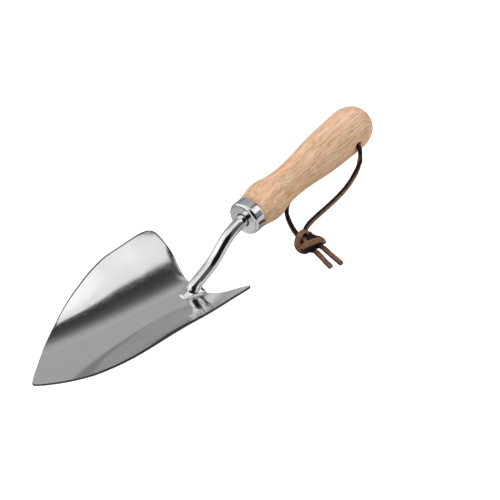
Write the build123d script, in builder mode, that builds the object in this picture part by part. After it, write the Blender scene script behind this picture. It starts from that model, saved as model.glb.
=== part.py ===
from build123d import *
import math
import os

# Hand trowel: dished blade, swan-neck rod with a foot welded to it, ferrule,
# turned wooden handle, tang adhesive and a knotted leather hanging thong.
#
# Millimetres. Origin at the centre of the ferrule's cylindrical band, +X along
# the handle axis towards the butt, +Z up (the blade's hollow side faces up),
# Y across. The blade and the handle are symmetric about XZ. "Front" is the
# -X side, towards the blade tip.

# --- ferrule
FERRULE_R = 12.0            # outside radius of the cylindrical band
BAND_HALF = 3.2             # half length of the band
FERRULE_SHOULDER_R = 2.2    # rounding between front face and band
FERRULE_FACE_X = -BAND_HALF - FERRULE_SHOULDER_R
FERRULE_WALL = 0.9
FERRULE_HOLE_R = 4.9        # hole the neck passes through

# --- handle
SEAM_X = BAND_HALF + 0.03   # wood shoulder behind the ferrule
TENON_R = FERRULE_R - FERRULE_WALL - 0.02
TENON_FACE_X = FERRULE_FACE_X + FERRULE_WALL + 0.25
TENON_CHAMFER = 2.0
HANDLE_END_X = 130.9
HANDLE_PROFILE = [          # turned outline: x, radius
    (SEAM_X, 11.95), (6.0, 12.3), (9.2, 12.85), (12.6, 13.55), (16.0, 14.15),
    (19.2, 14.25), (22.8, 13.85), (26.6, 13.05), (30.6, 12.38), (35.0, 11.88),
    (42.6, 11.60), (50.6, 11.81), (58.6, 12.42), (66.6, 13.30), (74.6, 14.16),
    (82.6, 14.79), (90.6, 15.16), (98.6, 15.42), (106.6, 15.74), (112.5, 15.80),
]
BUTT_PROFILE = [            # rounded end: x, radius
    HANDLE_PROFILE[-1], (118.0, 15.15), (122.6, 13.55), (126.4, 10.9), (129.2, 7.2),
    (HANDLE_END_X, 0),
]
BUTT_JOIN_TANGENT = (1, -0.02)  # shared by the two outlines where they meet
STRAP_HOLE_X = 102.9
STRAP_HOLE_R = 3.0
STRAP_HOLE_LIP = 0.6
STRAP_HOLE_FLARE = [        # cutter for each mouth: radius, distance from the handle axis
    (0, 14.2), (STRAP_HOLE_R, 14.2), (STRAP_HOLE_R, 14.9),
    (STRAP_HOLE_R + STRAP_HOLE_LIP, 15.5), (STRAP_HOLE_R + 2.2 * STRAP_HOLE_LIP, 16.4),
    (0, 16.4),
]

# --- tang, its bore and the adhesive
NECK_R = 4.25
TANG_TAPER_X = 10.0         # the tang tapers from here to its end
TANG_END_R = 2.9
TANG_END_X = 60.0
TANG_TIP_LENGTH = 2
TANG_TIP_DROP = 1.6         # loss of radius over the tip
BORE_R = 5.0
BORE_END_X = 62.5
BORE_CONE = 1.5             # depth of the conical bottom
ADHESIVE_START_X = TENON_FACE_X + 1.0
ADHESIVE_END_X = BORE_END_X - 0.2

# --- neck
NECK_PATH = [               # centre line of the swan neck: x, z
    (FERRULE_FACE_X, 0.0), (-12.2, -0.55), (-18.2, -2.1), (-22.6, -4.1), (-25.7, -6.1),
    (-28.9, -8.7), (-32.2, -11.35), (-36.1, -13.9), (-40.1, -15.85),
    (-44.4, -17.35), (-50.6, -19.3), (-57.4, -21.7),
]

# --- blade, in its own plane: station along the trough line, y across
BLADE_THICKNESS = 1.5
BLADE_TILT = math.radians(14.6)  # slope of the trough line against the handle
BLADE_PLANE = Plane(
    origin=(-56.4, 0.0, -25.7),
    x_dir=(math.cos(BLADE_TILT), 0, -math.sin(BLADE_TILT)),
    z_dir=(math.sin(BLADE_TILT), 0, math.cos(BLADE_TILT)),
)
BLADE_UP = BLADE_PLANE.z_dir
BLADE_RIM = [               # half outline from the tip backwards: station, half width
    (-148.2, 0.0), (-147.6, 1.25), (-145.9, 2.75), (-142.9, 4.85), (-136.9, 8.7),
    (-130.4, 12.65), (-125.0, 15.75), (-119.6, 18.85), (-114.4, 21.35),
    (-108.9, 23.75), (-102.8, 26.2), (-96.8, 28.6), (-90.6, 30.75), (-83.9, 32.75),
    (-76.8, 34.5), (-69.6, 36.15), (-62.4, 37.75), (-55.6, 39.05), (-48.4, 40.3),
    (-39.8, 41.15), (-29.8, 41.6), (-19.8, 42.1), (-11.0, 42.5), (-5.6, 42.4),
]
BLADE_REAR = [              # the rest of it, round the rear corner to the centre line
    (-2.2, 41.95), (0.6, 41.05), (2.5, 39.7), (4.0, 37.4), (5.4, 34.0), (6.5, 30.4),
    (6.9, 27.0), (6.7, 23.6), (6.0, 20.2), (5.1, 16.2), (4.4, 12.0), (4.0, 6.0), (4.0, 0.0),
]
DISH = [                    # station, rise / half width^2 at the rim, half width, wing straightness
    (-152.0, 0.00402, 13.0, -0.041),
    (-141.0, 0.00537, 13.2, -0.061),
    (-130.0, 0.00704, 13.4, -0.080),
    (-119.5, 0.00878, 18.4, -0.097),
    (-109.0, 0.01050, 23.7, -0.115),
    (-98.8, 0.01205, 27.5, -0.133),
    (-88.6, 0.01343, 31.3, -0.146),
    (-77.8, 0.01463, 34.1, -0.146),
    (-66.9, 0.01529, 36.9, -0.107),
    (-55.6, 0.01521, 38.6, -0.012),
    (-44.3, 0.01486, 40.4, 0.096),
    (-32.6, 0.01479, 41.4, 0.175),
    (-21.0, 0.01493, 42.3, 0.229),
    (-10.2, 0.01506, 41.9, 0.275),
    (0.6, 0.01513, 41.6, 0.331),
    (6.3, 0.01513, 41.6, 0.368),
    (12.0, 0.01508, 41.6, 0.412),
]
DISH_EASING = 0.35          # share of smooth-step in the reading between two rows
SHEET_HALF_WIDTH = 47.0     # untrimmed dished face
SHEET_STEPS_ALONG = 41
SHEET_STEPS_ACROSS = 24
TRIM_REACH = 60             # height of the prisms that trim the sheet

# --- foot and weld, in the blade plane
FOOT_SIDE = [(3.4, 7.1), (-0.6, 5.7), (-10.6, 2.5)]  # station, half width
FOOT_OUTLINE = FOOT_SIDE + [(station, -y) for station, y in reversed(FOOT_SIDE)]
FOOT_DEPTH = 6              # both start this far below the blade plane
FOOT_TOP = 2.5
FOOT_CORNER_R = 1.2
WELD_WIDTH = 1.9
WELD_TOP = 2.0
WELD_CHAMFER = 1.45
WELD_REAR = 3.3             # station where the bead stops
WELD_TRIM_LENGTH = 20
HEEL_CENTRE = -5.0          # station of the patch of blade under the foot
HEEL_SIZE = (34, 32)
HEEL_GAP = 0.01             # clearance between the blade and what sits on it
HEEL_CUT_DEPTH = 14.0

# --- leather thong
THONG_R = 1.45
STRAND_STEPS = 28
HOLE_PITCH = 3.3            # spacing of the loop's sections inside the strap hole
LOOP_NEAR = [               # x, y, z from the strap hole down the -Y side to the knot
    (STRAP_HOLE_X, -13.2, 0.0), (102.8, -15.2, -0.15), (102.2, -17.2, -1.4),
    (101.0, -18.6, -3.8), (99.6, -19.7, -6.6), (97.6, -20.6, -9.4), (94.8, -21.3, -12.0),
    (91.0, -21.9, -14.2), (86.0, -22.8, -15.5), (78.0, -24.1, -16.2), (69.7, -24.8, -16.7),
    (60.4, -24.9, -17.3), (52.6, -24.6, -17.9), (44.2, -24.2, -18.5), (37.0, -24.2, -18.9),
    (31.6, -25.6, -18.9), (27.4, -28.4, -18.4), (23.6, -31.6, -17.6),
]
LOOP_FAR = [                # x, y, z from the strap hole down the +Y side, under the handle
    (STRAP_HOLE_X, 13.2, 0.0), (102.8, 15.2, -0.15), (102.2, 17.3, -1.5),
    (100.9, 19.2, -4.4), (98.4, 20.4, -8.2), (93.0, 20.3, -12.2), (84.0, 17.6, -15.2),
    (70.0, 11.4, -17.1), (55.0, 4.8, -18.2), (44.6, 0.2, -18.7), (36.0, -4.6, -19.1),
    (30.3, -10.6, -19.4), (26.3, -17.0, -19.5), (22.6, -24.0, -19.0), (19.6, -29.4, -17.9),
]
KNOT_CENTRE = (18.8, -36.4, -16.6)
KNOT_DIR = (0.63, -0.7766, 0.0)
KNOT_HALF_LENGTH = 9.2
KNOT_R = 5.0
TAIL_1 = [(25.0, -44.6, -18.6), (24.0, -50.0, -19.6), (22.0, -57.0, -20.0), (19.4, -63.3, -20.1)]
TAIL_2 = [(17.2, -42.8, -19.2), (16.3, -48.0, -20.1), (14.6, -54.0, -20.4), (12.3, -59.8, -20.6)]
TAIL_WIDTH = 3.0
TAIL_THICKNESS = 2.6
TAIL_CORNER_R = 0.5


def dish_row(station):
    """Rise, half width and straightness at a station within the DISH table."""
    before, after = next(pair for pair in zip(DISH, DISH[1:]) if station <= pair[1][0])
    part = (station - before[0]) / (after[0] - before[0])
    part = part * part * (3 - 2 * part) * DISH_EASING + part * (1 - DISH_EASING)
    return [low + (high - low) * part for low, high in zip(before[1:], after[1:])]


def dish_point(station, y):
    """Point on the blade's hollow face."""
    rise, half_width, straightness = dish_row(station)
    height = rise * (1 + straightness) * y * y - rise * straightness * y**4 / half_width**2
    return BLADE_PLANE.from_local_coords(Vector(station, y, height))


def make_blade_sheet():
    """Spline face of the blade's hollow side, before trimming."""
    start, end = DISH[0][0], DISH[-1][0]
    stations = [
        start + (end - start) * i / SHEET_STEPS_ALONG for i in range(SHEET_STEPS_ALONG + 1)
    ]
    grid = []
    for j in range(SHEET_STEPS_ACROSS + 1):
        y = -SHEET_HALF_WIDTH + 2 * SHEET_HALF_WIDTH * j / SHEET_STEPS_ACROSS
        grid.append([dish_point(station, y) for station in stations])
    return Face.make_surface_from_array_of_points(grid, tol=0.01)


def thicken_down(face, depth):
    """Solid below a face that lies in the blade."""
    with BuildPart() as slab:
        thicken(face, amount=-depth, normal_override=BLADE_UP)
    return slab.part


def make_blade(sheet):
    """The dished face trimmed to its outline, then given its thickness."""
    with BuildPart() as outline:
        with BuildSketch(BLADE_PLANE):
            with BuildLine():
                rim = Spline(*BLADE_RIM, *BLADE_REAR, tangents=[(0.35, 1), (0, -1)])
                mirror(rim, about=Plane.XZ)
            make_face()
        extrude(amount=TRIM_REACH, both=True)
    return thicken_down((sheet & outline.part).faces()[0], BLADE_THICKNESS)


def make_heel_cutter(sheet):
    """Everything below the hollow face near the heel, to seat the foot and the weld."""
    with BuildPart() as zone:
        with BuildSketch(BLADE_PLANE.offset(-20)):
            with Locations((HEEL_CENTRE, 0)):
                Rectangle(*HEEL_SIZE)
        extrude(amount=TRIM_REACH)
    face = (sheet & zone.part).faces()[0].moved(Location(BLADE_UP * HEEL_GAP))
    return thicken_down(face, HEEL_CUT_DEPTH)


def make_neck(heel_cutter):
    """Tang, bent rod and foot in one piece."""
    with BuildPart() as neck:
        with BuildLine() as path:
            Spline(*[(x, 0, z) for x, z in NECK_PATH], tangents=[(-1, 0, 0), (-0.92, 0, -0.38)])
        with BuildSketch(Plane(origin=path.line @ 0, z_dir=path.line % 0)):
            Circle(NECK_R)
        sweep()
        with Locations(path.line @ 1):
            Sphere(NECK_R)
        # tang
        with BuildSketch(Plane.XZ):
            with BuildLine():
                Polyline(
                    (FERRULE_FACE_X, 0), (FERRULE_FACE_X, NECK_R), (TANG_TAPER_X, NECK_R),
                    (TANG_END_X - TANG_TIP_LENGTH, TANG_END_R),
                    (TANG_END_X, TANG_END_R - TANG_TIP_DROP),
                    (TANG_END_X, 0), close=True,
                )
            make_face()
        revolve(axis=Axis.X)
        # foot, with its two front corners rounded
        with BuildSketch(BLADE_PLANE.offset(-FOOT_DEPTH)):
            with BuildLine():
                Polyline(*FOOT_OUTLINE, close=True)
            make_face()
            fillet(vertices().group_by(Axis.X)[0], radius=FOOT_CORNER_R)
        extrude(amount=FOOT_DEPTH + FOOT_TOP)
        add(heel_cutter, mode=Mode.SUBTRACT)
    return neck.part


def make_weld_bead(neck, heel_cutter):
    """Bead round the two sides and the front of the foot."""
    with BuildPart() as bead:
        with BuildSketch(BLADE_PLANE.offset(-FOOT_DEPTH)):
            with BuildLine():
                Polyline(*FOOT_OUTLINE, close=True)
            make_face()
            offset(amount=WELD_WIDTH)
        extrude(amount=FOOT_DEPTH + WELD_TOP)
        top_edges = edges().group_by(Axis(BLADE_PLANE.origin, BLADE_UP))[-1]
        chamfer(top_edges, length=WELD_CHAMFER)
        # open the bead at the rear
        with BuildSketch(BLADE_PLANE.offset(-8)):
            with Locations((WELD_REAR + WELD_TRIM_LENGTH / 2, 0)):
                Rectangle(WELD_TRIM_LENGTH, 40)
        extrude(amount=20, mode=Mode.SUBTRACT)
        add(neck, mode=Mode.SUBTRACT)
        add(heel_cutter, mode=Mode.SUBTRACT)
    return bead.part


def make_ferrule():
    """Cup with a rounded shoulder and a hole for the neck."""
    face_x = FERRULE_FACE_X
    inner_face_x = face_x + FERRULE_WALL
    shoulder_x = face_x + FERRULE_SHOULDER_R
    face_r = FERRULE_R - FERRULE_SHOULDER_R
    inner_r = FERRULE_R - FERRULE_WALL
    with BuildPart() as ferrule:
        with BuildSketch(Plane.XZ):
            with BuildLine():
                Line((face_x, FERRULE_HOLE_R), (face_x, face_r))
                RadiusArc((face_x, face_r), (shoulder_x, FERRULE_R), FERRULE_SHOULDER_R)
                Polyline(
                    (shoulder_x, FERRULE_R), (BAND_HALF, FERRULE_R),
                    (BAND_HALF, inner_r), (shoulder_x, inner_r),
                )
                RadiusArc(
                    (shoulder_x, inner_r), (inner_face_x, face_r),
                    -(FERRULE_SHOULDER_R - FERRULE_WALL),
                )
                Polyline(
                    (inner_face_x, face_r), (inner_face_x, FERRULE_HOLE_R),
                    (face_x, FERRULE_HOLE_R),
                )
            make_face()
        revolve(axis=Axis.X)
    return ferrule.part


def make_handle():
    """Turned outline with a tenon for the ferrule, tang bore and strap hole."""
    with BuildPart() as handle:
        with BuildSketch(Plane.XZ):
            with BuildLine():
                Spline(*HANDLE_PROFILE, tangents=[(1, 0.1), BUTT_JOIN_TANGENT])
                Spline(*BUTT_PROFILE, tangents=[BUTT_JOIN_TANGENT, (0, -1)])
                Polyline(
                    BUTT_PROFILE[-1], (BORE_END_X + BORE_CONE, 0), (BORE_END_X, BORE_R),
                    (TENON_FACE_X, BORE_R), (TENON_FACE_X, TENON_R - TENON_CHAMFER),
                    (TENON_FACE_X + TENON_CHAMFER, TENON_R), (SEAM_X, TENON_R),
                    HANDLE_PROFILE[0],
                )
            make_face()
        revolve(axis=Axis.X)
        with Locations(Location((STRAP_HOLE_X, 0, 0), (90, 0, 0))):
            Hole(STRAP_HOLE_R)
        # flare both mouths of the strap hole
        with BuildSketch(Plane.XY):
            for side in (1, -1):
                with BuildLine():
                    Polyline(
                        *[(STRAP_HOLE_X + radius, side * y) for radius, y in STRAP_HOLE_FLARE],
                        close=True,
                    )
                make_face()
        revolve(axis=Axis((STRAP_HOLE_X, 0, 0), (0, 1, 0)), mode=Mode.SUBTRACT)
    return handle.part


def make_tang_adhesive(neck):
    """Set adhesive holding the tang in its bore."""
    with BuildPart() as adhesive:
        with BuildSketch(Plane.YZ.offset(ADHESIVE_START_X)):
            Circle(BORE_R)
        extrude(amount=ADHESIVE_END_X - ADHESIVE_START_X)
        add(neck, mode=Mode.SUBTRACT)
    return adhesive.part


def strand_sections(points):
    """Points and directions at even steps along a spline."""
    with BuildLine() as line:
        Spline(*points)
    edge = line.edges()[0]
    steps = [i / STRAND_STEPS for i in range(STRAND_STEPS + 1)]
    return [(edge @ step, edge % step) for step in steps]


def make_thong_loop():
    """Up the near strand from the knot, through the strap hole, down the far strand."""
    sections = [(point, tangent * -1) for point, tangent in reversed(strand_sections(LOOP_NEAR))]
    sections += [
        (Vector(STRAP_HOLE_X, HOLE_PITCH * i, 0), Vector(0, 1, 0)) for i in range(-3, 4)
    ]
    sections += strand_sections(LOOP_FAR)
    with BuildPart() as loop:
        # carry one side direction along, so the sections do not twist
        side = Vector(0, 0, 1)
        for point, tangent in sections:
            side = (side - tangent * side.dot(tangent)).normalized()
            with BuildSketch(Plane(origin=point, x_dir=side, z_dir=tangent)):
                Circle(THONG_R)
        loft()
    return loop.part


def make_thong_knot():
    """Half ellipse turned about the knot's long axis."""
    with BuildPart() as knot:
        with BuildSketch(Plane(origin=KNOT_CENTRE, x_dir=KNOT_DIR, z_dir=(0, 0, 1))):
            Ellipse(KNOT_HALF_LENGTH, KNOT_R)
            with Locations((0, -KNOT_R)):
                Rectangle(4 * KNOT_HALF_LENGTH, 2 * KNOT_R, mode=Mode.SUBTRACT)
        revolve(axis=Axis(KNOT_CENTRE, KNOT_DIR))
    return knot.part


def make_thong_tail(points):
    """Free end beyond the knot."""
    with BuildPart() as tail:
        with BuildLine() as path:
            Spline(*points)
        with BuildSketch(Plane(origin=path.line @ 0, x_dir=(1, 0, 0), z_dir=path.line % 0)):
            RectangleRounded(TAIL_WIDTH, TAIL_THICKNESS, TAIL_CORNER_R)
        sweep()
    return tail.part


blade_sheet = make_blade_sheet()
heel_cutter = make_heel_cutter(blade_sheet)
neck = make_neck(heel_cutter)
pieces = {
    "blade": make_blade(blade_sheet),
    "neck": neck,
    "weld_bead": make_weld_bead(neck, heel_cutter),
    "ferrule": make_ferrule(),
    "handle": make_handle(),
    "tang_adhesive": make_tang_adhesive(neck),
    "thong_loop": make_thong_loop(),
    "thong_knot": make_thong_knot(),
    "thong_tail_1": make_thong_tail(TAIL_1),
    "thong_tail_2": make_thong_tail(TAIL_2),
}

os.makedirs("parts", exist_ok=True)
for name, piece in pieces.items():
    piece.label = name
    export_step(piece, f"parts/{name}.step")
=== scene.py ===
"""A pointing trowel with a turned wooden handle and a knotted leather thong.

The handle's axis is X: the blade's tip points to -X and the handle's butt to +X. Z is up.
The blade hangs below the axis on a bent neck and rises towards its tip. The thong goes
through the handle along Y, and its knot lies on the -Y side. Shapes are worked out in
millimetres and turned into metres when a mesh is made.
"""
import math

import bmesh
import bpy
import numpy as np
from mathutils import Matrix, Vector


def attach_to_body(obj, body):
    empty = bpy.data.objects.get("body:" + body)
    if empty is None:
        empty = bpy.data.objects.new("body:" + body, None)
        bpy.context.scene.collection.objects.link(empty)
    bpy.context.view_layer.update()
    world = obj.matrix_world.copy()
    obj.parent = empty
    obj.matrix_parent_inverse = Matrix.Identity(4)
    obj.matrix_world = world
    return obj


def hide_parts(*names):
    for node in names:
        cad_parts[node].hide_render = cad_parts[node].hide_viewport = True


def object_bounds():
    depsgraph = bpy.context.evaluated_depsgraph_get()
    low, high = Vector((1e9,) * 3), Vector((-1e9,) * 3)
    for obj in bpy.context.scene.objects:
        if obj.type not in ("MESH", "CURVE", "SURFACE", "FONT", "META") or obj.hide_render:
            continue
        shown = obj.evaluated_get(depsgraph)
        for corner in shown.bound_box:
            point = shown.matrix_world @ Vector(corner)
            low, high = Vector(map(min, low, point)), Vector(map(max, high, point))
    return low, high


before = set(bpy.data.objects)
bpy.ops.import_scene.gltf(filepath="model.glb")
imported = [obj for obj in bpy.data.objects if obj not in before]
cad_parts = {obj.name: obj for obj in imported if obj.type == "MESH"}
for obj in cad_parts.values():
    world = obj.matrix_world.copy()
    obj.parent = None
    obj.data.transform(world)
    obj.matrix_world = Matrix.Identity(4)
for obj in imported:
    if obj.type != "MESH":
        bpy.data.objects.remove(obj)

cad_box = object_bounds()
scene = bpy.context.scene
MM = 0.001

# ---------------------------------------------------------------------------
# shared dimensions, in millimetres
# ---------------------------------------------------------------------------
BLADE_TILT = math.radians(14.6)
BLADE_THICK = 1.5
NECK_RADIUS = 4.25
FERRULE_FRONT, FERRULE_REAR = -5.4, 3.2     # x of the closed end and of the open rim
FERRULE_RADIUS = 12.0
FERRULE_WALL = 0.9
FERRULE_BORE = FERRULE_RADIUS - FERRULE_WALL
HANDLE_FRONT = FERRULE_REAR + 0.03          # x of the wood's shoulder
HOLE_X = 102.9                              # x of the strap hole
HOLE_RADIUS = 3.0


# ---------------------------------------------------------------------------
# curves and vectors
# ---------------------------------------------------------------------------
def unit(vectors):
    return vectors / np.linalg.norm(vectors, axis=-1, keepdims=True)


def tangents_of(path):
    return unit(np.gradient(path, axis=0))


def square_to(vectors, tangents):
    """Unit vectors with the part along the tangents taken out."""
    return unit(vectors - (vectors * tangents).sum(1)[:, None] * tangents)


def smoothstep(x):
    return x * x * (3 - 2 * x)


def spline_through(points, step=0.5, ends=None):
    """Cubic spline through points, resampled at an even step.

    ends holds the two end slopes. Without it the ends are natural.
    """
    points = np.array(points, float)
    chords = np.linalg.norm(np.diff(points, axis=0), axis=1)
    knots = np.r_[0, np.cumsum(chords ** 0.75)]
    count = len(points)
    gaps = np.diff(knots)
    system = np.zeros((count, count))
    target = np.zeros((count, points.shape[1]))
    system[0, 0] = system[-1, -1] = 1
    for i in range(1, count - 1):
        system[i, i - 1:i + 2] = gaps[i - 1], 2 * (gaps[i - 1] + gaps[i]), gaps[i]
        target[i] = 6 * ((points[i + 1] - points[i]) / gaps[i]
                         - (points[i] - points[i - 1]) / gaps[i - 1])
    if ends is not None:
        first, last = np.array(ends, float)
        system[0, :2] = 2 * gaps[0], gaps[0]
        target[0] = 6 * ((points[1] - points[0]) / gaps[0] - first)
        system[-1, -2:] = gaps[-1], 2 * gaps[-1]
        target[-1] = 6 * (last - (points[-1] - points[-2]) / gaps[-1])
    bend = np.linalg.solve(system, target)      # second derivative at each knot

    along = np.linspace(0, knots[-1], 60 * count)
    i = np.clip(np.searchsorted(knots, along) - 1, 0, count - 2)
    done = (along - knots[i])[:, None]
    left = (knots[i + 1] - along)[:, None]
    gap = gaps[i][:, None]
    fine = ((bend[i] * left ** 3 + bend[i + 1] * done ** 3) / (6 * gap)
            + (points[i] / gap - bend[i] * gap / 6) * left
            + (points[i + 1] / gap - bend[i + 1] * gap / 6) * done)

    length = np.r_[0, np.cumsum(np.linalg.norm(np.diff(fine, axis=0), axis=1))]
    pieces = max(4, int(round(length[-1] / step)))
    even = np.linspace(0, length[-1], pieces + 1)
    return np.stack([np.interp(even, length, column) for column in fine.T], 1)


def arc(x, r, radius, start, end, count):
    """Profile points round the centre (x, r), with angles in degrees."""
    angles = np.linspace(math.radians(start), math.radians(end), count)
    return [(x + radius * math.cos(a), r + radius * math.sin(a)) for a in angles]


# ---------------------------------------------------------------------------
# meshes
# ---------------------------------------------------------------------------
def bridge(ring_a, ring_b):
    """Quads between two closed rings of vertex numbers."""
    count = len(ring_a)
    return [(ring_a[i], ring_a[(i + 1) % count], ring_b[(i + 1) % count], ring_b[i])
            for i in range(count)]


def lathe(profile, segments, closed=False):
    """Revolves (x, r) points about X. Points with r = 0 become poles."""
    verts, rings = [], []
    angles = np.arange(segments) * 2 * np.pi / segments
    for x, r in profile:
        start = len(verts)
        if r < 1e-6:
            verts.append((x, 0, 0))
        else:
            verts += [(x, r * math.cos(a), r * math.sin(a)) for a in angles]
        rings.append(list(range(start, len(verts))))
    faces = []
    for a, b in list(zip(rings, rings[1:])) + ([(rings[-1], rings[0])] if closed else []):
        if len(a) == 1:
            faces += [(a[0], b[(i + 1) % segments], b[i]) for i in range(segments)]
        elif len(b) == 1:
            faces += [(a[i], a[(i + 1) % segments], b[0]) for i in range(segments)]
        else:
            faces += bridge(a, b)
    return verts, faces


def shade_smooth(obj, smooth=True):
    polygons = obj.data.polygons
    polygons.foreach_set("use_smooth", [smooth] * len(polygons))


def recalc_normals(obj):
    bm = bmesh.new()
    bm.from_mesh(obj.data)
    bmesh.ops.recalc_face_normals(bm, faces=bm.faces)
    bm.to_mesh(obj.data)
    bm.free()


def make_object(name, verts, faces, materials, smooth=True, outward=True,
                face_materials=None, suede_and_painted_light=None, sharp=None):
    """Object from vertices in millimetres. sharp is an edge angle in degrees."""
    mesh = bpy.data.meshes.new(name)
    mesh.from_pydata([tuple(v) for v in np.asarray(verts) * MM], [],
                     [tuple(int(i) for i in face) for face in faces])
    mesh.validate(clean_customdata=False)
    for material in materials:
        mesh.materials.append(material)
    # validate may drop faces, and then the list no longer fits
    if face_materials is not None and len(face_materials) == len(mesh.polygons):
        mesh.polygons.foreach_set("material_index", np.asarray(face_materials, dtype=np.int32))
    mesh.polygons.foreach_set("use_smooth", [smooth] * len(mesh.polygons))
    if suede_and_painted_light is not None:
        attribute = mesh.attributes.new("suede_and_painted_light", "FLOAT", "POINT")
        attribute.data.foreach_set("value", np.asarray(suede_and_painted_light, dtype=np.float32))
    if sharp:
        mesh.set_sharp_from_angle(angle=math.radians(sharp))
    mesh.update()
    obj = bpy.data.objects.new(name, mesh)
    scene.collection.objects.link(obj)
    if outward:
        recalc_normals(obj)
    return obj


def apply_modifiers(obj):
    depsgraph = bpy.context.evaluated_depsgraph_get()
    mesh = bpy.data.meshes.new_from_object(obj.evaluated_get(depsgraph))
    old = obj.data
    obj.modifiers.clear()
    obj.data = mesh
    bpy.data.meshes.remove(old)


def attach(obj, replaces):
    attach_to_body(obj, "trowel")
    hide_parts(replaces)


# ---------------------------------------------------------------------------
# materials
# ---------------------------------------------------------------------------
class Shader:
    """A short way to build a node tree. Values may be sockets, numbers or tuples."""

    def __init__(self, tree):
        self.tree = tree
        tree.nodes.clear()

    def new(self, kind, **settings):
        node = self.tree.nodes.new(kind)
        for key, value in settings.items():
            setattr(node, key, value)
        return node

    def link(self, output, socket):
        self.tree.links.new(output, socket)

    def put(self, socket, value):
        if isinstance(value, (int, float)):
            socket.default_value = value
        elif isinstance(value, tuple):
            socket.default_value = (*value, 1) if socket.type == "RGBA" else value
        else:
            self.link(value, socket)

    def put_all(self, node, values):
        for name, value in values.items():
            self.put(node.inputs[name], value)

    def separate(self, vector):
        node = self.new("ShaderNodeSeparateXYZ")
        self.link(vector, node.inputs[0])
        return node.outputs

    def math(self, operation, *values, clamp=False):
        node = self.new("ShaderNodeMath", operation=operation, use_clamp=clamp)
        for socket, value in zip(node.inputs, values):
            self.put(socket, value)
        return node.outputs[0]

    def times(self, a, b):
        return self.math("MULTIPLY", a, b)

    def plus(self, a, b):
        return self.math("ADD", a, b)

    def ramp(self, factor, stops, interpolation="LINEAR"):
        node = self.new("ShaderNodeValToRGB")
        node.color_ramp.interpolation = interpolation
        elements = node.color_ramp.elements
        while len(elements) < len(stops):
            elements.new(0.5)
        for element, (position, grey) in zip(elements, stops):
            element.position = position
            element.color = (grey, grey, grey, 1)
        self.link(factor, node.inputs[0])
        return node.outputs[0]

    def mix(self, factor, a, b):
        node = self.new("ShaderNodeMix", data_type="RGBA", blend_type="MIX")
        for index, value in ((0, factor), (6, a), (7, b)):
            self.put(node.inputs[index], value)
        return node.outputs[2]


class Material(Shader):
    def __init__(self, name):
        self.material = bpy.data.materials.new(name)
        self.material.use_nodes = True
        super().__init__(self.material.node_tree)
        self.out = self.new("ShaderNodeOutputMaterial")
        self.bsdf = self.new("ShaderNodeBsdfPrincipled")
        self.link(self.bsdf.outputs[0], self.out.inputs[0])

    def coords(self, scale=(1, 1, 1), rot=(0, 0, 0), loc=(0, 0, 0)):
        mapping = self.new("ShaderNodeMapping")
        source = self.new("ShaderNodeTexCoord").outputs["Object"]
        self.put_all(mapping, {"Scale": scale, "Rotation": rot, "Location": loc,
                               "Vector": source})
        return mapping.outputs[0]

    def noise(self, vector, scale, detail=4.0, rough=0.55, distort=0.0):
        node = self.new("ShaderNodeTexNoise")
        self.put_all(node, {"Scale": scale, "Detail": detail, "Roughness": rough,
                            "Distortion": distort, "Vector": vector})
        return node.outputs["Fac"]

    def stretched(self, scale, rot=(0, 0, 0), loc=(0, 0, 0), **settings):
        """Noise with its own scale along each axis."""
        return self.noise(self.coords(scale=scale, rot=rot, loc=loc), scale=1.0, **settings)

    def cell_edges(self, vector, scale):
        node = self.new("ShaderNodeTexVoronoi", feature="DISTANCE_TO_EDGE")
        self.put_all(node, {"Scale": scale, "Vector": vector})
        return node.outputs["Distance"]

    def bumps(self, *layers):
        """Stacks (height, strength, distance in metres) layers onto the normal."""
        normal = None
        for height, strength, distance in layers:
            node = self.new("ShaderNodeBump")
            self.put_all(node, {"Strength": strength, "Distance": distance, "Height": height})
            if normal is not None:
                self.link(normal, node.inputs["Normal"])
            normal = node.outputs[0]
        self.link(normal, self.bsdf.inputs["Normal"])


def steel(name, tint, rough, brush_scale, brush, scratch, turn=0):
    """Polished stainless steel: brush lines turned about Y, faint scratches, cloudy polish."""
    m = Material(name)
    lines = m.stretched(brush_scale, rot=(0, turn, 0), detail=5, rough=0.7)
    cloud = m.noise(m.coords(), scale=45, detail=3)
    grain = m.noise(m.coords(), scale=2600, detail=2)

    dull = tuple(c * 0.94 for c in tint)
    bright = tuple(min(1, c * 1.08) for c in tint)
    colour = m.mix(m.ramp(cloud, [(0.3, 0.0), (0.75, 1.0)]), dull, tint)
    colour = m.mix(m.times(m.ramp(lines, [(0.35, 0.0), (0.7, 1.0)]), 0.35), colour, bright)
    roughness = m.plus(m.times(lines, 0.07 * brush), rough)
    roughness = m.plus(roughness, m.times(cloud, 0.03))
    m.put_all(m.bsdf, {"Base Color": colour, "Metallic": 1.0, "Roughness": roughness})

    cells = m.coords(scale=(60, 900, 900), rot=(0.25, turn + 0.02, 0.35))
    scratches = m.ramp(m.cell_edges(cells, scale=1.0), [(0.0, 1.0), (0.02, 0.0)])
    m.bumps((lines, 0.02 * brush, 0.00025),
            (scratches, scratch, 0.00004),
            (grain, 0.05, 0.00003))
    return m.material


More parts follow.
